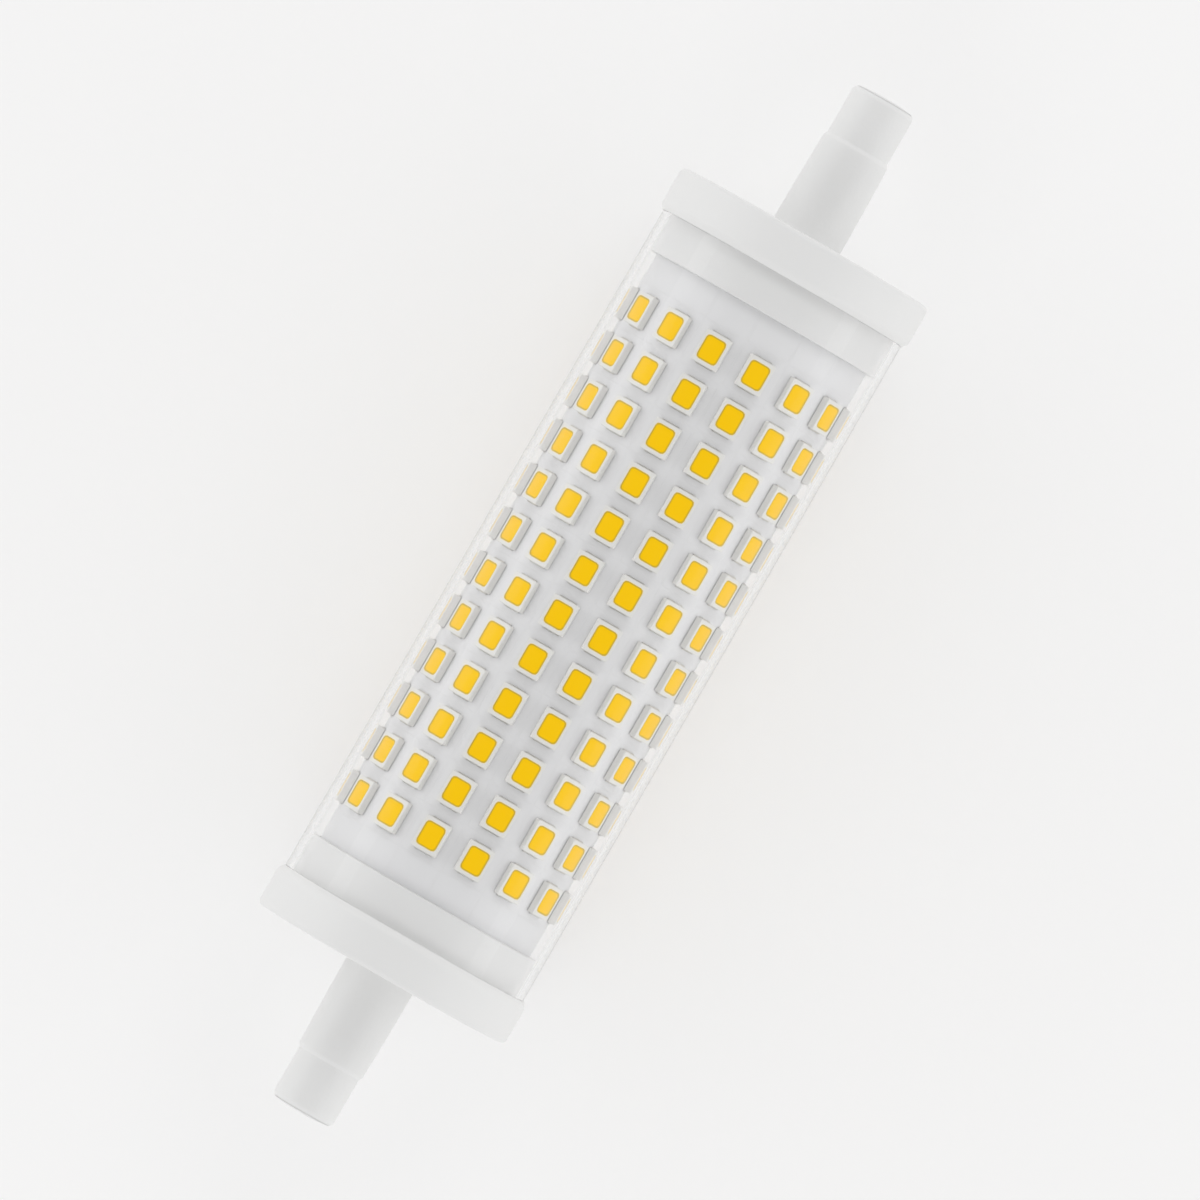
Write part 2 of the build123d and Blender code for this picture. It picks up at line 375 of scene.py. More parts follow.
# %% [markdown]
# Most of the light is a pale sky. It is darker overhead and bright at the sides, as in a studio with white
# walls. So the middle of the lamp comes out a little darker than its sides, as in the reference, and the
# clear tube doesn't mirror a white ceiling. The fade follows the Z of the direction, between two heights.

# %% Sky
SKY_OVERHEAD, SKY_HORIZON = 0.28, 1.04
FADE_START, FADE_END = 0.55, 0.97

world = bpy.data.worlds.new("studio")
world.use_nodes = True
bpy.context.scene.world = world
sky = world.node_tree
fade = add_node(
    sky,
    "ShaderNodeMapRange",
    {"interpolation_type": "SMOOTHSTEP"},
    Value=axes_of(sky, add_node(sky, "ShaderNodeTexCoord").outputs["Generated"])["Z"],
    From_Min=FADE_START,
    From_Max=FADE_END,
    To_Min=SKY_HORIZON,
    To_Max=SKY_OVERHEAD,
)
feed_all(sky, sky.nodes["Background"], {"Color": (1, 1, 1, 1), "Strength": fade.outputs["Result"]})
print("sky from", SKY_OVERHEAD, "to", SKY_HORIZON)

# %% [markdown]
# Four weak soft lamps, two at the sides and two over the ends, give the packages their thin shadows. They
# are kept out of reflections, because on a polished tube each of them would draw a long streak.

# %% Soft lamps
LAMP_DISTANCE = 900
SIDE_LAMP_SIZE, END_LAMP_SIZE = (900, 300), (500, 400)


def soft_lamp(name, turn, height, size, power):
    """A soft lamp, aimed at the middle. Its turn round Z and its height over the floor are in degrees."""
    turn, height = radians(turn), radians(height)
    data = bpy.data.lights.new(name, "AREA")
    data.shape = "RECTANGLE"
    data.size, data.size_y = size[0] * MM, size[1] * MM
    data.energy = power
    lamp = bpy.data.objects.new(name, data)
    way = Vector((cos(turn) * cos(height), sin(turn) * cos(height), sin(height)))
    lamp.location = way * LAMP_DISTANCE * MM
    lamp.rotation_mode = "QUATERNION"
    lamp.rotation_quaternion = way.to_track_quat("Z", "Y")
    lamp.visible_glossy = False
    bpy.context.collection.objects.link(lamp)
    print(name, "at", lamp.location)


soft_lamp("side_lamp_left", 90, 16, SIDE_LAMP_SIZE, power=1.0)
soft_lamp("side_lamp_right", -90, 16, SIDE_LAMP_SIZE, power=1.0)
soft_lamp("end_lamp_right", 0, 45, END_LAMP_SIZE, power=0.8)
soft_lamp("end_lamp_left", 180, 45, END_LAMP_SIZE, power=0.7)

# %% [markdown]
# Turned shapes come from one outline of (x, radius) points. The outline is a string of edges beside the
# lamp's axis, and Blender's spin turns it once round and merges the last step with the first. Rings that
# are rounded on the real moulding are bevelled afterwards, so the outline itself keeps only the corners
# that matter. Pieces that come in pairs are shaped for the right-hand end, and their twin is given half a
# turn about Z.

# %% Helpers for shapes
TURN_STEPS = 128
NEAR = 0.002
VERT, EDGE, FACE = bmesh.types.BMVert, bmesh.types.BMEdge, bmesh.types.BMFace


def only(geom, kind):
    """The vertices, the edges or the faces in what an operator made."""
    return [item for item in geom if isinstance(item, kind)]


def with_neighbours(bm, verts):
    """Vertices, with the edges and faces between them."""
    chosen = set(verts)
    edges = [edge for edge in bm.edges if chosen.issuperset(edge.verts)]
    faces = [face for face in bm.faces if chosen.issuperset(face.verts)]
    return list(verts) + edges + faces


def lathe(bm, outline, closed=False, steps=TURN_STEPS):
    """Turns an outline of (x, radius) points about the X axis. A closed one goes back to its first point."""
    verts = [bm.verts.new((x, 0, radius)) for x, radius in outline]
    ends = verts[1:] + verts[:1] if closed else verts[1:]
    edges = [bm.edges.new(pair) for pair in zip(verts, ends)]
    bmesh.ops.spin(
        bm, geom=verts + edges, cent=(0, 0, 0), axis=(1, 0, 0), angle=2 * pi, steps=steps, use_merge=True
    )


def ring(bm, x, radius):
    """The edges of the circle at this x and radius."""
    def on_circle(vert):
        return abs(vert.co.x - x) < NEAR and abs(hypot(vert.co.y, vert.co.z) - radius) < NEAR

    return [edge for edge in bm.edges if all(on_circle(vert) for vert in edge.verts)]


def round_off(bm, edges, radius, segments=4):
    """Rounds edges."""
    bmesh.ops.bevel(
        bm, geom=edges, offset=radius, affect="EDGES", segments=segments, profile=0.5, material=-1
    )


def box(bm, low, high):
    """Adds a box between two corners and returns its vertices."""
    low, high = Vector(low), Vector(high)
    verts = bmesh.ops.create_cube(bm, size=1)["verts"]
    bmesh.ops.scale(bm, vec=high - low, verts=verts)
    bmesh.ops.translate(bm, vec=(high + low) / 2, verts=verts)
    return verts


def turn_about(bm, axis, angle):
    """Turns a shape about one of the lamp's axes."""
    bmesh.ops.rotate(bm, cent=(0, 0, 0), matrix=Matrix.Rotation(angle, 3, axis), verts=bm.verts)


def finish_pair(solid, form, shape, materials):
    """Finishes the right-hand piece that a function shapes, and its left-hand twin."""
    for side, turn in (("right", 0), ("left", pi)):
        bm = shape()
        turn_about(bm, "Z", turn)
        finish_piece(f"{side}_{solid}_{form}", bm, materials, [f"{side}_{solid}"])


print("turned pieces have", TURN_STEPS, "steps")

# %% [markdown]
# An end cap is one moulding: a tip with a slightly domed end and a recess, a shoulder, a neck that widens a
# little towards its root, a flange, and a collar that plugs into the clear tube. The photograph shows soft
# radii on the tip and the flange and thin highlights along the shoulder, so those rings are bevelled with
# their real radius. The dome and the neck's faint curve are arcs, worked out from their radius and their
# height.

# %% End cap sizes
recess_radius, recess_depth = 1.8, 1.8
pocket_radius, pocket_depth = 1.55, 2.4
shank_hole = 1.7
tip_radius, tip_length, dome_radius = 3.45, 5.75, 15.0
shoulder_end, neck_radius, neck_root_radius, neck_bulge = 6.15, 3.675, 3.83, 0.03
face_reach, flange_chamfer, flange_step = 16.18, 0.6, 0.07
collar_radius, collar_bore = 13.0, 12.27
neck_bore, neck_bore_start = 2.4, 6.0
guide_width, guide_thickness, guide_reach, guide_places = 3.0, 1.4, 3.0, 8.0
guide_gap, guide_root = 1.3, 0.4
DOME_POINTS, NECK_POINTS = 5, 8


def dome(radius):
    """X of the domed end of the tip at this radius. The rim of the recess is its highest place."""
    return half_lamp - sqrt(dome_radius**2 - recess_radius**2) + sqrt(dome_radius**2 - radius**2)


def neck(share):
    """Point of the neck, from its shoulder at 0 to its root at 1."""
    reach = shoulder_end + share * (face_reach - shoulder_end)
    straight = neck_radius + share * (neck_root_radius - neck_radius)
    return half_lamp - reach, straight + neck_bulge * 4 * share * (1 - share)


dome_steps = [recess_radius + (tip_radius - recess_radius) * i / DOME_POINTS for i in range(DOME_POINTS + 1)]
cap_outline = [
    (half_lamp - pocket_depth, pocket_radius),
    (half_lamp - recess_depth, pocket_radius),
    (half_lamp - recess_depth, recess_radius),
    *[(dome(radius), radius) for radius in dome_steps],
    (half_lamp - tip_length, tip_radius),
    *[neck(i / NECK_POINTS) for i in range(NECK_POINTS + 1)],
    (half_lamp - face_reach, flange_radius),
    (tube_half + flange_chamfer, flange_radius),
    (tube_half, tube_radius + flange_step),
    (tube_half, collar_radius),
    (collar_end, collar_radius),
    (collar_end, collar_bore),
    (board_half, collar_bore),
    (board_half, neck_bore),
    (half_lamp - neck_bore_start, neck_bore),
]
print("outline points", len(cap_outline))

# %% [markdown]
# The square hole for the pin's shank can't be turned. Its two mouths are squares with as many points as the
# circles round them, so that Blender can bridge circle to square and square to square without gaps. The
# four ribs that hold each end of the driver board are boxes that start inside the cap's inner face.

# %% End caps
def square_ring(bm, x, side):
    """Adds a square at this x, with as many points as a turned circle, and returns its edges."""
    place = Matrix.Translation((x, 0, 0)) @ Matrix.Rotation(pi / 2, 4, "Y") @ Matrix.Rotation(pi / 4, 4, "Z")
    corners = bmesh.ops.create_circle(bm, segments=4, radius=side / sqrt(2), matrix=place)["verts"]
    sides = only(with_neighbours(bm, corners), EDGE)
    bmesh.ops.subdivide_edges(bm, edges=sides, cuts=TURN_STEPS // 4 - 1)

    def on_square(vert):
        return abs(vert.co.x - x) < NEAR and abs(max(abs(vert.co.y), abs(vert.co.z)) - side / 2) < NEAR

    return [edge for edge in bm.edges if all(on_square(vert) for vert in edge.verts)]


def add_guides(bm):
    """Adds the ribs above and below the end of the driver board."""
    low, high = node_box("driver_board")
    middle = (low.z + high.z) / 2
    start, stop = board_half - guide_reach, board_half + guide_root
    for side in (-1, 1):
        left = side * guide_places - guide_width / 2
        for level in (-1, 1):
            near = middle + level * guide_gap / 2
            bottom, top = sorted((near, near + level * guide_thickness))
            box(bm, (start, left, bottom), (stop, left + guide_width, top))


def shape_cap():
    """The right-hand end cap."""
    bm = bmesh.new()
    lathe(bm, cap_outline)
    pocket_x, bore_x = half_lamp - pocket_depth, half_lamp - neck_bore_start
    front, back = square_ring(bm, pocket_x, shank_hole), square_ring(bm, bore_x, shank_hole)
    bmesh.ops.bridge_loops(bm, edges=ring(bm, pocket_x, pocket_radius) + front)
    bmesh.ops.bridge_loops(bm, edges=ring(bm, bore_x, neck_bore) + back)
    bmesh.ops.bridge_loops(bm, edges=front + back)
    rounded = [
        # x, radius, rounding
        (half_lamp, recess_radius, 0.16),
        (dome(tip_radius), tip_radius, 0.55),
        (half_lamp - tip_length, tip_radius, 0.08),
        (half_lamp - shoulder_end, neck_radius, 0.12),
        (half_lamp - face_reach, neck_root_radius, 0.22),
        (half_lamp - face_reach, flange_radius, 0.55),
        (tube_half + flange_chamfer, flange_radius, 0.25),
        (tube_half, tube_radius + flange_step, 0.05),
        (collar_end, collar_radius, 0.15),
        (collar_end, collar_bore, 0.1),
    ]
    for x, radius, rounding in rounded:
        round_off(bm, ring(bm, x, radius), rounding)
    bmesh.ops.recalc_face_normals(bm, faces=bm.faces)
    add_guides(bm)
    return bm


finish_pair("end_cap", "moulding", shape_cap, [cap_white])

# %% [markdown]
# Turned and coined metal shows fine rings round its axis. The finish gets them from the distance to that
# axis, with a noise that breaks them up, and a second noise gives it a faint tarnish.

# %% Group for rings on turned metal
TARNISH_SCALE = 900


def make_rings_group():
    """Roughness and bump in fine rings round the X axis, of a stated size in metres."""
    group, given, made = new_group(
        "turned_rings",
        [
            ("Ring Size", "NodeSocketFloat", 0.0001),
            ("Ring Height", "NodeSocketFloat", 0.000002),
            ("Least Roughness", "NodeSocketFloat", 0.2),
            ("Most Roughness", "NodeSocketFloat", 0.4),
        ],
        [("Roughness", "NodeSocketFloat"), ("Normal", "NodeSocketVector"), ("Tarnish", "NodeSocketFloat")],
    )
    place = object_place(group)
    across = add_node(group, "ShaderNodeVectorMath", {"operation": "MULTIPLY"})
    feed(group, across.inputs[0], place)
    feed(group, across.inputs[1], (0, 1, 1))
    distance = add_node(group, "ShaderNodeVectorMath", {"operation": "LENGTH"})
    feed(group, distance.inputs[0], across.outputs["Vector"])
    turns = add_math(group, "DIVIDE", distance.outputs["Value"], given["Ring Size"])
    rings = add_node(group, "ShaderNodeTexNoise", {"noise_dimensions": "1D"}, W=turns, Scale=1).outputs["Fac"]
    bump = add_node(group, "ShaderNodeBump", Height=rings, Distance=given["Ring Height"])
    tarnish = add_node(group, "ShaderNodeTexNoise", Vector=place, Scale=TARNISH_SCALE)
    feed(group, made["Roughness"], add_band(group, rings, given["Least Roughness"], given["Most Roughness"]))
    feed(group, made["Normal"], bump.outputs["Normal"])
    feed(group, made["Tarnish"], tarnish.outputs["Fac"])
    return group


rings_group = make_rings_group()


def turned_metal(name, colour, tarnished, roughness, ring_size=0.12):
    """A metal with fine rings and a faint tarnish. The size is in millimetres."""
    material, tree, shader = new_material(name, Metallic=1.0)
    made = add_node(
        tree,
        "ShaderNodeGroup",
        {"node_tree": rings_group},
        Ring_Size=ring_size * MM,
        Least_Roughness=roughness[0],
        Most_Roughness=roughness[1],
    ).outputs
    metal = add_blend(tree, made["Tarnish"], (*colour, 1), (*tarnished, 1))
    feed(tree, shader.inputs["Base Color"], metal)
    for effect in ("Roughness", "Normal"):
        feed(tree, shader.inputs[effect], made[effect])
    return material


contact_metal = turned_metal("contact_metal", (0.74, 0.72, 0.68), (0.62, 0.59, 0.54), (0.22, 0.4))
tinned_copper = turned_metal("tinned_copper", (0.76, 0.75, 0.73), (0.66, 0.65, 0.62), (0.25, 0.42))
print("metals", contact_metal.name, tinned_copper.name)

# %% [markdown]
# At the bottom of each recess lies the head of the contact pin, a flat disc of nickel-plated metal with a
# square shank behind it. The disc starts as a cylinder. Its rim is rounded, and its face is inset and
# pressed in by a hair, as a coined contact is. The shank is a plain box that ends inside the end cap.

# %% Contact pins
head_radius, head_thickness, shank_width = 1.5, 0.5, 1.6
head_rim, head_land, head_press = 0.08, 0.35, 0.05


def shape_pin():
    """The right-hand contact pin."""
    low, high = node_box("right_contact_pin")
    bm = bmesh.new()
    place = Matrix.Translation((high.x - head_thickness / 2, 0, 0)) @ Matrix.Rotation(pi / 2, 4, "Y")
    bmesh.ops.create_cone(
        bm,
        cap_ends=True,
        segments=TURN_STEPS,
        radius1=head_radius,
        radius2=head_radius,
        depth=head_thickness,
        matrix=place,
    )
    round_off(bm, ring(bm, high.x, head_radius), head_rim, segments=3)
    contact = max(bm.faces, key=lambda face: face.calc_center_median().x)
    bmesh.ops.inset_individual(bm, faces=[contact], thickness=head_land)
    bmesh.ops.translate(bm, vec=(-head_press, 0, 0), verts=contact.verts)
    half = shank_width / 2
    box(bm, (low.x, -half, -half), (high.x - head_thickness, half, half))
    return bm


finish_pair("contact_pin", "coined", shape_pin, [contact_metal])

# %% [markdown]
# The clear tube is thin polished polycarbonate, which bends light strongly: it moves the outer lines of
# LEDs a little further out, as in the photograph. A plain glass shader would keep the lamps' light from the
# board behind it, because light sampled straight from a lamp can't bend through a surface. So the shader is
# mixed with a transparent one for shadow and diffuse rays only. The photograph shows hardly any mirror
# image in the tube, so a grey specular tint weakens what it mirrors face on and leaves the bright rim at
# its edges. A noise gives the polish a trace of haze.

# %% Clear tube
tube_wall, tube_edge = 0.8, 0.05
HAZE_SCALE, MOST_HAZE = 140, 0.02
LET_THROUGH = (0.975, 0.975, 0.975, 1)


def make_clear_plastic():
    """Clear plastic that lets lamps through."""
    material, tree, shader = new_material(
        "clear_tube",
        Base_Color=(1, 1, 1, 1),
        Transmission_Weight=1.0,
        IOR=1.58,
        Specular_Tint=(0.2, 0.2, 0.2, 1),
    )
    haze = add_node(tree, "ShaderNodeTexNoise", Vector=object_place(tree), Scale=HAZE_SCALE).outputs["Fac"]
    feed(tree, shader.inputs["Roughness"], add_band(tree, haze, 0.0, MOST_HAZE))
    clear = add_node(tree, "ShaderNodeBsdfTransparent", Color=LET_THROUGH)
    mix_in(material, ray_mask(tree, "Is Shadow Ray", "Is Diffuse Ray"), clear)
    return material


def shape_tube():
    """The clear tube, with its ends eased."""
    inner = tube_radius - tube_wall
    bm = bmesh.new()
    corners = [(-tube_half, inner), (-tube_half, tube_radius), (tube_half, tube_radius), (tube_half, inner)]
    lathe(bm, corners, closed=True)
    for x, radius in corners:
        round_off(bm, ring(bm, x, radius), tube_edge, segments=2)
    bmesh.ops.recalc_face_normals(bm, faces=bm.faces)
    return bm


finish_piece("clear_tube_polished", shape_tube(), [make_clear_plastic()], ["clear_tube"])

# %% [markdown]
# The LED board is one thin board rolled to a tube, so it is a spin too, but one that stops short of a full
# turn and leaves the seam open at the bottom. Its white solder mask runs over copper lands, and their edges
# show as very faint steps. The relief is a pattern of the mask's own: thin lines midway between the lines
# of LEDs and midway between the packages, found from the angle round the axis and from X.

# %% LED board
LED_COLUMNS, LED_ROWS, led_pitch = 16, 12, 5.108
board_thickness, board_seam = 0.8, 1.2
land_gap, land_height = 0.22, 0.012


def make_solder_mask():
    """White solder mask with the faint relief of the copper lands below it."""
    material = grained("board_white", (0.82, 0.82, 0.825), (0.79, 0.79, 0.80), (0.38, 0.5), (0.25, 0.004), 12)
    tree = material.node_tree
    axes = axes_of(tree, object_place(tree))
    angle = add_math(tree, "ARCTAN2", axes["Y"], axes["Z"])
    column = add_math(tree, "DIVIDE", angle, 2 * pi / LED_COLUMNS)
    row = add_math(tree, "DIVIDE", axes["X"], led_pitch * MM)
    arc = 2 * pi * board_radius / LED_COLUMNS
    lines = []
    for step, width in ((column, arc), (row, led_pitch)):
        away = add_math(tree, "PINGPONG", step, 0.5)
        lines.append(add_math(tree, "LESS_THAN", away, land_gap / 2 / width))
    add_relief(material, add_math(tree, "MAXIMUM", *lines), land_height)
    return material


def shape_board():
    """The rolled board, open at its seam."""
    half_gap = asin(board_seam / 2 / board_radius)
    inner, outer = board_radius - board_thickness, board_radius
    bm = bmesh.new()
    corners = ((-board_half, inner), (board_half, inner), (board_half, outer), (-board_half, outer))
    edge_face = bm.faces.new([bm.verts.new((x, 0, radius)) for x, radius in corners])
    turn_about(bm, "X", pi + half_gap)
    roll = 2 * (pi - half_gap)
    bmesh.ops.spin(
        bm, geom=[edge_face], cent=(0, 0, 0), axis=(1, 0, 0), angle=roll, steps=TURN_STEPS, use_merge=False
    )
    bmesh.ops.recalc_face_normals(bm, faces=bm.faces)
    return bm


board_white = make_solder_mask()
finish_piece("led_board_rolled", shape_board(), [board_white], ["led_board"])

# %% [markdown]
# Each LED package is a small white housing with a window full of yellow phosphor. There are 192 of them, so
# one is shaped with a few dozen faces and copied. Its shape is a stack of rounded rectangles: foot,
# shoulder, top, window, and the foot of the window's sloping wall. The first is a face with its four
# corners bevelled. Each further one is that face extruded and given its next size, with its corners' own
# radius.

# %% Stack of rounded rectangles
CORNER_STEPS = 2


def moved(value, half, corner, new_half, new_corner):
    """One coordinate of a rounded rectangle's point, moved to a rectangle of another size and corner."""
    centre = copysign(half - corner, value)
    return copysign(new_half - new_corner, value) + (value - centre) * new_corner / corner


def stack(bm, sizes):
    """Extrudes a rounded rectangle through sizes of (length, width, corner, level). Returns its bands."""
    length, width, corner, level = sizes[0]
    verts = bmesh.ops.create_grid(bm, x_segments=1, y_segments=1, size=0.5)["verts"]
    bmesh.ops.scale(bm, vec=(length, width, 1), verts=verts)
    bmesh.ops.translate(bm, vec=(0, 0, level), verts=verts)
    rounded = bmesh.ops.bevel(
        bm, geom=verts, offset=corner, affect="VERTICES", segments=CORNER_STEPS, profile=0.5, material=-1
    )
    face = rounded["verts"][0].link_faces[0]
    bands = []
    for new_length, new_width, new_corner, new_level in sizes[1:]:
        made = bmesh.ops.extrude_face_region(bm, geom=[face])["geom"]
        if bands:
            bmesh.ops.delete(bm, geom=[face], context="FACES_ONLY")
        face = only(made, FACE)[0]
        for vert in face.verts:
            x = moved(vert.co.x, length / 2, corner, new_length / 2, new_corner)
            y = moved(vert.co.y, width / 2, corner, new_width / 2, new_corner)
            vert.co = (x, y, new_level)
        bands.append([other for edge in face.edges for other in edge.link_faces if other is not face])
        length, width, corner = new_length, new_width, new_corner
    bmesh.ops.recalc_face_normals(bm, faces=bm.faces)
    return bands


print("corner steps", CORNER_STEPS)

# %% [markdown]
# The window's wall and a thin land round it catch cream bounce light from the phosphor, which is painted
# into the colour of those two bands, so they get a finish of their own. The phosphor turns daylight into
# yellow light, and that is painted as a faint glow that shines the same under any light.
# Its rim is duller, partly because the phosphor thins out there and partly by painted shade from the
# window's wall. A line of twelve copies makes one piece, because each line is one node of the solids.

# %% LED housing and phosphor
led_length, led_width, led_height = 3.5, 2.8, 0.66
window_length, window_width, window_corner = 2.68, 2.23, 0.38
housing_corner, housing_edge = 0.1, 0.05
painted_glow_land, wall_depth, wall_slope = 0.07, 0.14, 0.03
fill_drop, meniscus_width, meniscus_drop = 0.02, 0.15, 0.025


def shape_package(sizes, second_finish):
    """A stack of rounded rectangles, with a second finish on some of its bands."""
    bm = bmesh.new()
    bands = stack(bm, sizes)
    for band in second_finish:
        for face in bands[band]:
            face.material_index = 1
    return bm


def shape_housing():
    """One housing, its foot at height 0. The window's wall and the land round it have the second finish,
    whose cream is painted bounce light from the phosphor.
    """
    edge, land, slope = 2 * housing_edge, 2 * painted_glow_land, 2 * wall_slope
    sizes = [
        (led_length, led_width, housing_corner, 0),
        (led_length, led_width, housing_corner, led_height - housing_edge),
        (led_length - edge, led_width - edge, housing_corner, led_height),
        (window_length + land, window_width + land, window_corner + painted_glow_land, led_height),
        (window_length, window_width, window_corner, led_height),
        (window_length - slope, window_width - slope, window_corner, led_height - wall_depth),
    ]
    return shape_package(sizes, second_finish=(3, 4))


def shape_phosphor():
    """The phosphor in one window, with the sunken middle that a poured fill has. Its rim is duller: thinner
    phosphor and painted shade from the window's wall.
    """
    fill = led_height - fill_drop
    slope, rim = 2 * wall_slope, 2 * meniscus_width
    sizes = [
        (window_length - slope, window_width - slope, window_corner, led_height - wall_depth),
        (window_length, window_width, window_corner, fill),
        (window_length - rim, window_width - rim, window_corner - meniscus_width / 2, fill - meniscus_drop),
    ]
    return shape_package(sizes, second_finish=(1,))


def line_of_copies(one, column):
    """Copies a shape to each row of one line of LEDs, and turns the line to its place round the board."""
    pattern = bpy.data.meshes.new("pattern")
    one.to_mesh(pattern)
    one.free()
    bm = bmesh.new()
    for row in range(LED_ROWS):
        bm.from_mesh(pattern)
        copy = list(bm.verts)[-len(pattern.vertices):]
        x = (row - (LED_ROWS - 1) / 2) * led_pitch
        bmesh.ops.translate(bm, vec=(x, 0, board_radius), verts=copy)
    turn_about(bm, "X", 2 * pi * (column + 0.5) / LED_COLUMNS)
    bpy.data.meshes.remove(pattern)
    return bm


housing_finishes = [
    grained("led_housing", (0.84, 0.83, 0.80), (0.80, 0.79, 0.76), (0.4, 0.5), (0.15, 0.003), 3),
    # The second finish is the housing's white with the phosphor's cream bounce light painted into it.
    grained("led_reflector_painted_glow", (0.90, 0.84, 0.62), (0.87, 0.80, 0.55), (0.35, 0.45), (0.15, 0.002), 1),
]
phosphor_yellow = grained(
    "phosphor_yellow",
    (0.89, 0.54, 0.001),
    (0.86, 0.51, 0.001),
    (0.4, 0.55),
    (0.12, 0.006),
    1.6,
    # The emission is a painted glow: the phosphor does turn some daylight yellow, but this glow shines the
    # same under any light.
    Specular_IOR_Level=0.05,
    Emission_Color=(1, 0.62, 0, 1),
    Emission_Strength=0.17,
)
# The rim's darker, greener colour is thinner phosphor together with painted shade from the window's wall.
phosphor_rim_thin_and_shaded = grained("phosphor_rim_thin_and_shaded", (0.72, 0.47, 0.01), (0.66, 0.43, 0.01), (0.4, 0.55), (0.12, 0.004), 1)
phosphor_finishes = [phosphor_yellow, phosphor_rim_thin_and_shaded]
for column in range(LED_COLUMNS):
    number = f"{column + 1:02d}"
    housings = line_of_copies(shape_housing(), column)
    bodies = [f"led_bodies_{number}"]
    finish_piece(f"led_housings_{number}", housings, housing_finishes, bodies)
    fills = line_of_copies(shape_phosphor(), column)
    plates = [f"led_phosphor_{number}"]
    finish_piece(f"phosphor_fills_{number}", fills, phosphor_finishes, plates)

# %% [markdown]
# Each package is soldered at both ends. Its two terminals are tinned tabs that come out at the foot, and
# the solder climbs a little on them. A tab is a small box whose outer top edge is cut off to a slope. All
# the tabs share one piece, because they are far too small to be told apart.

# %% Terminals of the packages
terminal_width, terminal_proud, terminal_height, terminal_depth = 1.9, 0.13, 0.2, 0.1
terminal_slope = 0.117


def shape_terminals():
    """The two soldered terminals of one package."""
    bm = bmesh.new()
    inner, outer = led_length / 2 - terminal_depth, led_length / 2 + terminal_proud
    for side in (-1, 1):
        low, high = sorted((side * inner, side * outer))
        verts = box(bm, (low, -terminal_width / 2, 0), (high, terminal_width / 2, terminal_height))
        tip = [vert for vert in verts if abs(vert.co.x) > inner + NEAR and vert.co.z > NEAR]
        round_off(bm, only(with_neighbours(bm, tip), EDGE), terminal_slope, segments=1)
    return bm


terminals = bmesh.new()
for column in range(LED_COLUMNS):
    line = line_of_copies(shape_terminals(), column)
    line_mesh = bpy.data.meshes.new("line")
    line.to_mesh(line_mesh)
    line.free()
    terminals.from_mesh(line_mesh)
    bpy.data.meshes.remove(line_mesh)
finish_piece("led_terminals", terminals, [tinned_copper])

# %% [markdown]
# The seam of the rolled board faces down. Two flat leads come out through it from the driver, and a drop of
# solder ties each one to the board's edge. The leads are cut strips, so their solids keep their shape and
# only get their metal. A drop that wets a surface is a flattened ball, cut off just below that surface.

# %% LED leads and their solder joints
BALL_STEPS = 20
led_lead_thickness, led_joint_size, led_joint_sunk = 0.5, Vector((1.4, 1.5, -0.3)), 0.1

solder = grained(
    "solder", (0.72, 0.72, 0.71), (0.60, 0.60, 0.59), (0.2, 0.38), (0.12, 0.004), 0.7, Metallic=1.0
)


def add_drop(bm, foot, size, sunk):
    """Adds a drop of solder that stands on a point and starts below it. A negative height makes it hang."""
    ball = bmesh.ops.create_uvsphere(bm, u_segments=BALL_STEPS, v_segments=BALL_STEPS // 2, radius=1)["verts"]
    bmesh.ops.scale(bm, vec=(size.x / 2, size.y / 2, abs(size.z)), verts=ball)
    bmesh.ops.translate(bm, vec=foot, verts=ball)
    way = Vector((0, 0, copysign(1, size.z)))
    level = Vector(foot) - way * sunk
    geom = with_neighbours(bm, ball)
    cut = bmesh.ops.bisect_plane(bm, geom=geom, plane_co=level, plane_no=-way, clear_outer=True)["geom_cut"]
    bmesh.ops.edgeloop_fill(bm, edges=only(cut, EDGE))


joints = bmesh.new()
for side, node in ((-1, "led_lead_minus"), (1, "led_lead_plus")):
    finish_solid(node, tinned_copper)
    low, high = node_box(node)
    across = side * (led_lead_thickness + led_joint_size.y) / 2
    foot = ((low.x + high.x) / 2, across, -sqrt(board_radius**2 - across**2))
    add_drop(joints, foot, led_joint_size, led_joint_sunk)
finish_piece("led_solder_drops", joints, [solder], ["led_solder_joints"])

# %% [markdown]
# A mains lead runs straight from each contact pin to the driver board. It is a tinned core in white
# insulation that stops short at both ends. One outline gives both, and the faces near the axis are the bare
# core. A drop of solder holds the core on the board.

# %% Mains leads
LEAD_STEPS = 32
core_radius, bared_length, insulation_rim = 0.35, 1.6, 0.12
lead_drop_size, lead_drop_place, lead_drop_sunk = Vector((1.7, 1.5, 0.95)), 0.8, 0.05

lead_white = grained(
    "lead_insulation", (0.82, 0.82, 0.81), (0.78, 0.78, 0.77), (0.4, 0.55), (0.2, 0.004), 5
)


def close_ends(bm, outline):
    """Closes the two end rings of a turned outline."""
    for x, radius in (outline[0], outline[-1]):
        bmesh.ops.holes_fill(bm, edges=ring(bm, x, radius))
    bmesh.ops.recalc_face_normals(bm, faces=bm.faces)


def shape_mains_lead():
    """The right-hand mains lead."""
    low, high = node_box("right_mains_lead")
    start, stop, outer = low.x + bared_length, high.x - bared_length / 2, high.z
    outline = [(low.x, core_radius), (start, core_radius), (start, outer)]
    outline += [(stop, outer), (stop, core_radius), (high.x, core_radius)]
    bm = bmesh.new()
    lathe(bm, outline, steps=LEAD_STEPS)
    close_ends(bm, outline)
    for x in (start, stop):
        round_off(bm, ring(bm, x, outer), insulation_rim, segments=3)
    for face in bm.faces:
        if all(hypot(vert.co.y, vert.co.z) < core_radius + NEAR for vert in face.verts):
            face.material_index = 1
    return bm


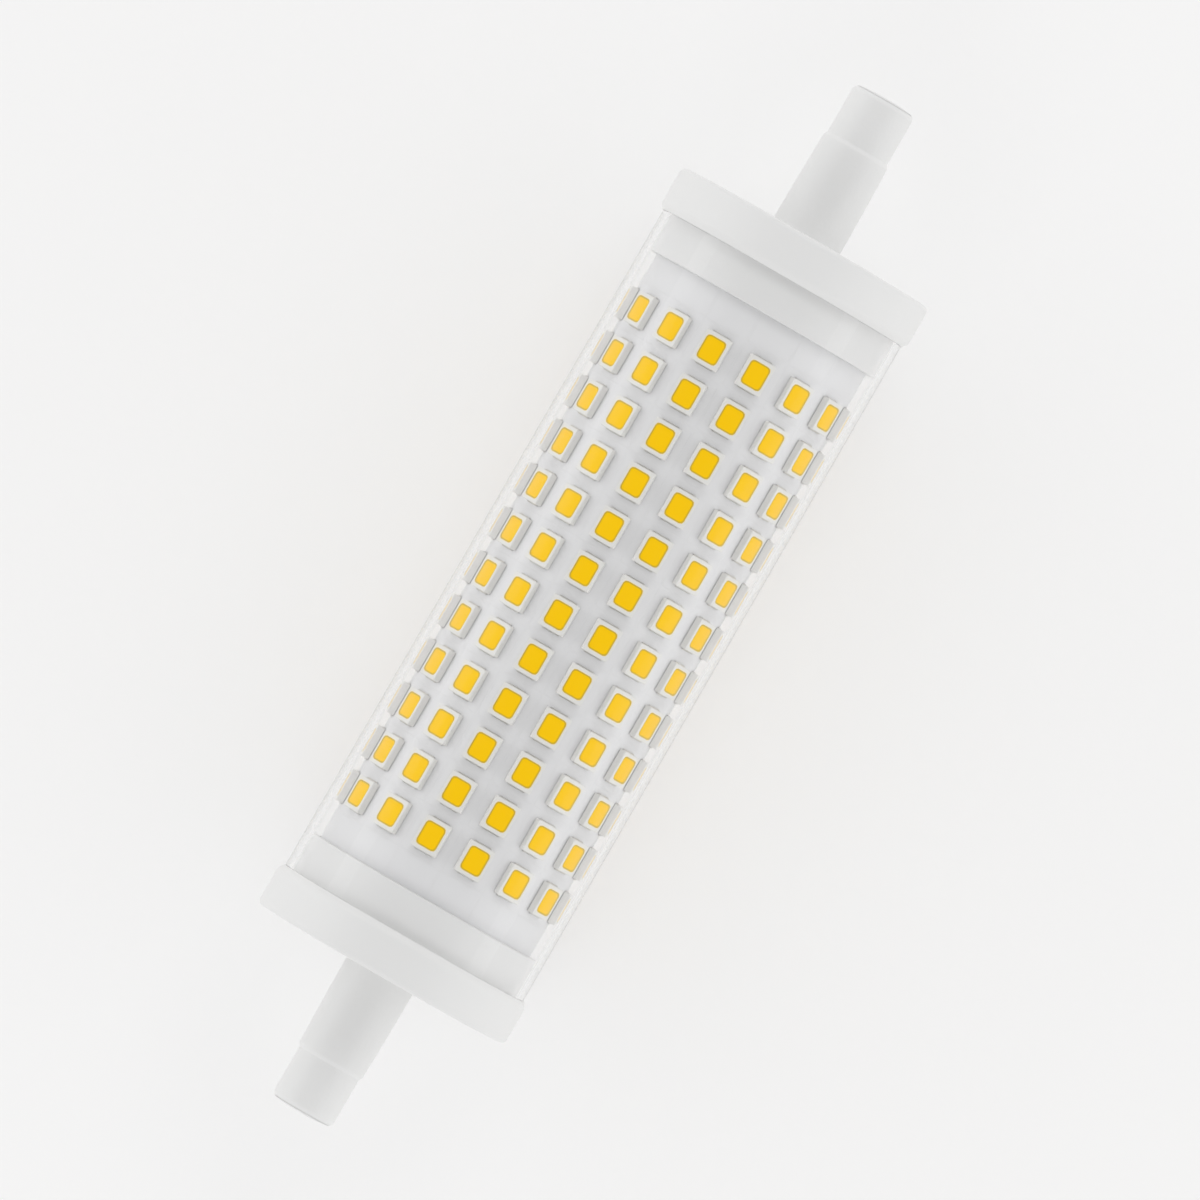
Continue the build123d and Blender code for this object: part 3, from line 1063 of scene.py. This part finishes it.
finish_pair("mains_lead", "sleeved", shape_mains_lead, [lead_white, tinned_copper])
lead_drops = bmesh.new()
board_top = node_box("driver_board")[1].z
for name in ("right_mains_lead", "left_mains_lead"):
    low, high = node_box(name)
    end = min(low.x, high.x, key=abs)
    foot = (end + copysign(lead_drop_place, end), 0, board_top)
    add_drop(lead_drops, foot, lead_drop_size, lead_drop_sunk)
finish_piece("mains_lead_solder_drops", lead_drops, [solder])

# %% [markdown]
# The driver board is a flat laminate with green solder mask on both faces. Under the mask lie copper areas
# with thin gaps between them, which show as slightly raised, lighter patches. Two Voronoi textures make
# such patches: with the Chebychev distance, the lines where the nearest and the second nearest cell are
# equally far run straight or at 45 degrees, as on a real layout. The cut edges show the bare laminate, so
# they get a finish of their own.

# %% Driver board
board_rim, pour_size, pour_gap, pour_height = 0.08, 6.0, 0.035, 0.03
MOSTLY_LEVEL = 0.5


def make_circuit_mask():
    """Green solder mask over copper areas."""
    material = grained("circuit_green", (0.06, 0.33, 0.15), (0.05, 0.29, 0.13), (0.26, 0.4), (0.3, 0.003), 15)
    tree = material.node_tree
    place = object_place(tree)
    distances = []
    for feature in ("F1", "F2"):
        settings = {"distance": "CHEBYCHEV", "feature": feature}
        cells = add_node(tree, "ShaderNodeTexVoronoi", settings, Vector=place, Scale=1 / (pour_size * MM))
        distances.append(cells.outputs["Distance"])
    nearest, second = distances
    gap = add_math(tree, "LESS_THAN", add_math(tree, "SUBTRACT", second, nearest), pour_gap)
    add_relief(material, gap, pour_height)
    paint_over(material, gap, (0.03, 0.18, 0.08, 1))
    return material


laminate = grained("bare_laminate", (0.60, 0.54, 0.34), (0.50, 0.44, 0.26), (0.6, 0.8), (0.15, 0.02), 2)
bm = bmesh.new()
box(bm, *node_box("driver_board"))
round_off(bm, bm.edges[:], board_rim, segments=2)
for face in bm.faces:
    face.material_index = 0 if abs(face.normal.z) > MOSTLY_LEVEL else 1
finish_piece("driver_board_masked", bm, [make_circuit_mask(), laminate], ["driver_board"])

# %% [markdown]
# Parts with wire legs stand or lie on the board. A bent leg starts as a ring of edges: it is extruded out,
# spun through a quarter turn and extruded down to the board, so the bend is a true arc. The turned parts
# need fewer steps than the lamp's outside, and each is shaped round the origin and then put in its place. A
# mesh doesn't keep its faces in the order in which they were made, so a leg's faces are found as those that
# the body didn't have.

# %% Helpers for the parts on the driver board
PART_STEPS = 48
LEG_STEPS, BEND_STEPS = 10, 5
leg_radius, leg_reach, leg_bend = 0.3, 0.5, 0.5


def add_bent_leg(bm, start, side, drop):
    """Adds a wire leg that leaves along X, on this side, and bends down by a drop."""
    before = set(bm.edges)
    place = Matrix.Translation(start) @ Matrix.Rotation(pi / 2, 4, "Y")
    bmesh.ops.create_circle(bm, segments=LEG_STEPS, radius=leg_radius, matrix=place)
    first = [edge for edge in bm.edges if edge not in before]
    run = only(bmesh.ops.extrude_edge_only(bm, edges=first)["geom"], VERT)
    bmesh.ops.translate(bm, vec=(side * leg_reach, 0, 0), verts=run)
    centre = (start[0] + side * leg_reach, start[1], start[2] - leg_bend)
    bend = bmesh.ops.spin(
        bm,
        geom=only(with_neighbours(bm, run), EDGE),
        cent=centre,
        axis=(0, side, 0),
        angle=pi / 2,
        steps=BEND_STEPS,
        use_duplicate=False,
    )["geom_last"]
    down = bmesh.ops.extrude_edge_only(bm, edges=only(bend, EDGE))["geom"]
    bmesh.ops.translate(bm, vec=(0, 0, leg_bend - drop), verts=only(down, VERT))
    ends = [edge for edge in bm.edges if edge not in before and len(edge.link_faces) == 1]
    bmesh.ops.holes_fill(bm, edges=ends)


def turned_part(outline):
    """A small part turned about X, with both ends closed."""
    bm = bmesh.new()
    lathe(bm, outline, steps=PART_STEPS)
    close_ends(bm, outline)
    return bm


def face_place(face):
    """X of a face's middle."""
    return face.calc_center_median().x


def finish_legs(bm, body, index):
    """Gives all faces that aren't in the body another of the piece's finishes."""
    for face in bm.faces:
        if face not in body:
            face.material_index = index


def stand_up(bm):
    """Turns a shape that lies along X so that it stands along Z."""
    turn_about(bm, "Y", -pi / 2)


def put(bm, where):
    """Moves a shape to its place."""
    bmesh.ops.translate(bm, vec=where, verts=bm.verts)


part_black = grained("part_black", (0.045, 0.045, 0.05), (0.035, 0.035, 0.04), (0.42, 0.6), (0.12, 0.008), 3)
print("parts have", PART_STEPS, "steps")

# %% [markdown]
# The fuse resistor is a ceramic rod under two pressed caps, all in blue lacquer, so its outline is a low
# dumb-bell. Its colour rings run round it, which makes them a matter of X alone: a ramp with constant steps
# gives them.

# %% Fuse resistor
# From each end inwards: the distance from that end, and the share of the full radius
RESISTOR_END = ((0, 0.5), (0.15, 0.82), (0.5, 1.0), (1.2, 1.0), (1.6, 0.82))
RING_COLOURS = (
    # place along the rod, colour
    (0.30, (0.10, 0.035, 0.012)),
    (0.42, (0.008, 0.008, 0.009)),
    (0.54, (0.30, 0.02, 0.012)),
    (0.72, (0.45, 0.30, 0.07)),
)
RING_SHARE, BARE = 0.055, (0, 0, 0, 0)


def make_resistor_lacquer(low, high):
    """Blue lacquer with colour rings between two places along X."""
    material = grained("resistor_blue", (0.22, 0.42, 0.60), (0.19, 0.38, 0.55), (0.3, 0.42), (0.2, 0.006), 2)
    tree = material.node_tree
    along = axes_of(tree, object_place(tree))["X"]
    share = add_node(tree, "ShaderNodeMapRange", Value=along, From_Min=low.x * MM, From_Max=high.x * MM)
    rings = add_node(tree, "ShaderNodeValToRGB", Fac=share.outputs["Result"])
    ramp = rings.color_ramp
    ramp.interpolation = "CONSTANT"
    ramp.elements[0].color = BARE
    ramp.elements[1].position, ramp.elements[1].color = 1, BARE
    for start, colour in RING_COLOURS:
        ramp.elements.new(start).color = (*colour, 1)
        ramp.elements.new(start + RING_SHARE).color = BARE
    paint_over(material, rings.outputs["Alpha"], rings.outputs["Color"])
    return material


low, high = node_box("fuse_resistor")
half, radius = (high.x - low.x) / 2, (high.z - low.z) / 2
outline = [(half - inwards, share * radius) for inwards, share in RESISTOR_END]
outline += [(-x, reach) for x, reach in reversed(outline)]
bm = turned_part(outline)
body = set(bm.faces)
for side in (-1, 1):
    add_bent_leg(bm, (side * half, 0, 0), side, radius)
finish_legs(bm, body, 1)
put(bm, (low + high) / 2)
finishes = [make_resistor_lacquer(low, high), tinned_copper]
finish_piece("fuse_resistor_banded", bm, finishes, ["fuse_resistor"])

# %% [markdown]
# The film capacitor is a wound block dipped in red resin, so its box has generous round edges. The filter
# choke is a ferrite drum in a black shrunk sleeve: the sleeve pulls in at the drum's waist and folds over
# its rim, and the drum's end shows inside that fold.

# %% Film capacitor and filter choke
film_rounding = 0.9
sleeve_waist, sleeve_fold, sleeve_rim, fold_depth = 0.22, 0.7, 0.15, 0.2
# From each end inwards: the distance from that end, and the way in from the full radius
CHOKE_END = ((0, sleeve_fold), (0, sleeve_rim), (sleeve_rim, 0), (0.9, 0), (1.9, sleeve_waist))

film_red = grained("film_red", (0.50, 0.10, 0.06), (0.42, 0.08, 0.05), (0.16, 0.3), (0.6, 0.012), 4)
ferrite = grained("ferrite_grey", (0.13, 0.13, 0.14), (0.10, 0.10, 0.11), (0.5, 0.7), (0.08, 0.008), 2)

bm = bmesh.new()
box(bm, *node_box("film_capacitor"))
round_off(bm, bm.edges[:], film_rounding)
finish_piece("film_capacitor_dipped", bm, [film_red], ["film_capacitor"])

low, high = node_box("filter_choke")
half, radius = (high.z - low.z) / 2, (high.x - low.x) / 2
outline = [(inwards - half, radius - below) for inwards, below in CHOKE_END]
outline += [(-x, reach) for x, reach in reversed(outline)]
outline.append((half - fold_depth, radius - sleeve_fold))
bm = turned_part(outline)
drum_end = max(bm.faces, key=lambda face: (len(face.verts), face_place(face)))
drum_end.material_index = 1
stand_up(bm)
put(bm, (low + high) / 2)
finish_piece("filter_choke_sleeved", bm, [part_black, ferrite], ["filter_choke"])

# %% [markdown]
# The inductor's ferrite core is ground square, so its solid is right as it is. Its winding is a ring of
# copper turns: a round ring is turned first, with one low ridge per turn, stood up, and then pulled apart
# along X and Y until its hole fits the core's middle leg.

# %% Power inductor
wire_pitch, ridge_height = 0.425, 0.09
RIDGE_TOP = (0.3, 0.7)
leg_depth, leg_width, hole_corner = 4.5, 2.6, 0.1

winding_copper = grained(
    "winding_copper",
    (0.66, 0.29, 0.11),
    (0.56, 0.23, 0.08),
    (0.22, 0.36),
    (0.2, 0.003),
    1.5,
    Metallic=1.0,
    Coat_Weight=0.4,
)
finish_solid("inductor_core", ferrite)

low, high = node_box("inductor_winding")
half = (high.z - low.z) / 2
outer = (high.x - low.x - leg_depth) / 2 + hole_corner
turns = round(2 * half / wire_pitch)
pitch = 2 * half / turns
outline = [(half, hole_corner), (-half, hole_corner)]
for turn in range(turns):
    start = turn * pitch - half
    outline.append((start, outer - ridge_height))
    outline += [(start + share * pitch, outer) for share in RIDGE_TOP]
outline.append((half, outer - ridge_height))
bm = bmesh.new()
lathe(bm, outline, closed=True, steps=PART_STEPS)
turn_about(bm, "X", pi / PART_STEPS)
bmesh.ops.recalc_face_normals(bm, faces=bm.faces)
stand_up(bm)
for way, leg in ((Vector((1, 0, 0)), leg_depth), (Vector((0, 1, 0)), leg_width)):
    for side in (-1, 1):
        half_ring = [vert for vert in bm.verts if side * vert.co.dot(way) > 0]
        bmesh.ops.translate(bm, vec=side * (leg / 2 - hole_corner) * way, verts=half_ring)
put(bm, (low + high) / 2)
finish_piece("inductor_winding_turns", bm, [winding_copper], ["inductor_winding"])

# %% [markdown]
# The electrolytic capacitor is an aluminium can in a shrunk sleeve. The sleeve follows the groove that
# holds the rubber plug, and folds over the can's rim. The can's end keeps a cross of grooves where it may
# burst safely: cuts divide the end disc, and the faces of the cross are inset downwards. A pale stripe
# marks the negative leg.

# %% Electrolytic capacitor
groove_place, groove_half, groove_depth = 1.9, 0.55, 0.3
can_fold, plug_rim, can_rim, end_depth, plug_depth = 0.6, 0.25, 0.3, 0.15, 0.35
vent_half, vent_reach, vent_wall, vent_depth = 0.14, 2.3, 0.04, 0.1
stripe_half_angle, can_leg_pitch = 0.32, 3.5
FACING = 0.9

aluminium = turned_metal("can_aluminium", (0.80, 0.80, 0.81), (0.72, 0.72, 0.73), (0.25, 0.4), ring_size=0.2)


def make_can_sleeve(centre):
    """Dark sleeve with a pale stripe along one side of the can's axis."""
    material = grained("can_sleeve", (0.05, 0.06, 0.15), (0.045, 0.05, 0.13), (0.2, 0.32), (0.5, 0.008), 4)
    tree = material.node_tree
    centred = add_node(tree, "ShaderNodeMapping", Vector=object_place(tree), Location=-centre * MM)
    axes = axes_of(tree, centred.outputs["Vector"])
    angle = add_math(tree, "ARCTAN2", axes["Z"], axes["Y"])
    stripe = add_math(tree, "LESS_THAN", add_math(tree, "ABSOLUTE", angle), stripe_half_angle)
    paint_over(material, stripe, (0.62, 0.63, 0.66, 1))
    return material


def can_outline(half, radius):
    """The sleeved can, from inside its plug to inside its end."""
    groove = groove_place - half
    return [
        (plug_depth - half, radius - can_fold),
        (-half, radius - can_fold),
        (-half, radius - plug_rim),
        (plug_rim - half, radius),
        (groove - groove_half, radius),
        (groove, radius - groove_depth),
        (groove + groove_half, radius),
        (half - can_rim, radius),
        (half, radius - can_rim),
        (half, radius - can_fold),
        (half - end_depth, radius - can_fold),
    ]


def add_vent(bm, end):
    """Divides the can's end disc and presses a cross into it."""
    level = face_place(end)

    def in_disc(face):
        return abs(face_place(face) - level) < NEAR and face.normal.x > FACING

    def in_cross(face):
        centre = face.calc_center_median()
        near, far = sorted((abs(centre.y), abs(centre.z)))
        return near < vent_half and far < vent_reach

    for way in (Vector((0, 1, 0)), Vector((0, 0, 1))):
        for place in (-vent_reach, -vent_half, vent_half, vent_reach):
            corners = dict.fromkeys(vert for face in bm.faces if in_disc(face) for vert in face.verts)
            geom = with_neighbours(bm, corners)
            bmesh.ops.bisect_plane(bm, geom=geom, plane_co=way * place, plane_no=way)
    cross = [face for face in bm.faces if in_disc(face) and in_cross(face)]
    bmesh.ops.inset_region(bm, faces=cross, thickness=vent_wall, depth=-vent_depth)


low, high = node_box("electrolytic_capacitor")
half, radius, centre = (high.x - low.x) / 2, (high.z - low.z) / 2, (low + high) / 2
bm = turned_part(can_outline(half, radius))
discs = sorted((face for face in bm.faces if len(face.verts) == PART_STEPS), key=face_place)
discs[0].material_index, discs[-1].material_index = 1, 2
add_vent(bm, discs[-1])
body = set(bm.faces)
for side in (-1, 1):
    add_bent_leg(bm, (plug_depth - half, side * can_leg_pitch / 2, 0), -1, radius)
finish_legs(bm, body, 3)
put(bm, centre)
finishes = [make_can_sleeve(centre), part_black, aluminium, tinned_copper]
finish_piece("electrolytic_capacitor_can", bm, finishes, ["electrolytic_capacitor"])

# %% [markdown]
# Under the board sit three moulded parts. Their bodies are two frustums that meet at the mould's parting
# line, which the stack of rectangles gives at once. A leg is a strip: a chain of edges, extruded to its
# width and solidified. The chip and the rectifier have their legs along both long sides, the diode at its
# two ends.

# %% Moulded parts under the driver board
draft, body_corner = 0.12, 0.12
leg_sheet, leg_out, leg_foot, leg_sunk = 0.18, 0.3, 0.5, 0.15


def add_strip_leg(bm, side, place, width, root, level):
    """Adds a leg that leaves a body at this level, comes down to the board and goes out along it."""
    out = root + leg_out
    chain = [(root - leg_sunk, level), (out, level), (out, leg_sheet), (out + leg_foot, leg_sheet)]
    verts = [bm.verts.new((place - width / 2, side * across, height)) for across, height in chain]
    edges = [bm.edges.new(pair) for pair in zip(verts, verts[1:])]
    strip = bmesh.ops.extrude_edge_only(bm, edges=edges)["geom"]
    bmesh.ops.translate(bm, vec=(width, 0, 0), verts=only(strip, VERT))
    faces = only(strip, FACE)
    bmesh.ops.recalc_face_normals(bm, faces=faces)
    bmesh.ops.solidify(bm, geom=faces, thickness=leg_sheet)


def moulded_part(node, legs, pitch, width, at_ends=False):
    """A moulded part with its legs, upside down under the driver board."""
    low, high = node_box(node)
    length, breadth, height = high - low
    if at_ends:
        length, breadth = breadth, length
    bm = bmesh.new()
    foot = (length - 2 * draft, breadth - 2 * draft, body_corner, 0)
    stack(bm, [foot, (length, breadth, body_corner, height / 2), (*foot[:3], height)])
    body = set(bm.faces)
    for side in (-1, 1):
        for leg in range(legs):
            add_strip_leg(bm, side, (leg - (legs - 1) / 2) * pitch, width, breadth / 2, height / 2)
    finish_legs(bm, body, 1)
    bmesh.ops.recalc_face_normals(bm, faces=bm.faces)
    if at_ends:
        turn_about(bm, "Z", pi / 2)
    turn_about(bm, "X", pi)
    put(bm, ((low.x + high.x) / 2, 0, high.z))
    finish_piece(f"{node}_moulded", bm, [part_black, tinned_copper], [node])


moulded_part("bridge_rectifier", legs=2, pitch=2.54, width=0.65)
moulded_part("driver_chip", legs=4, pitch=1.1, width=0.4)
moulded_part("output_diode", legs=1, pitch=0, width=1.4, at_ends=True)
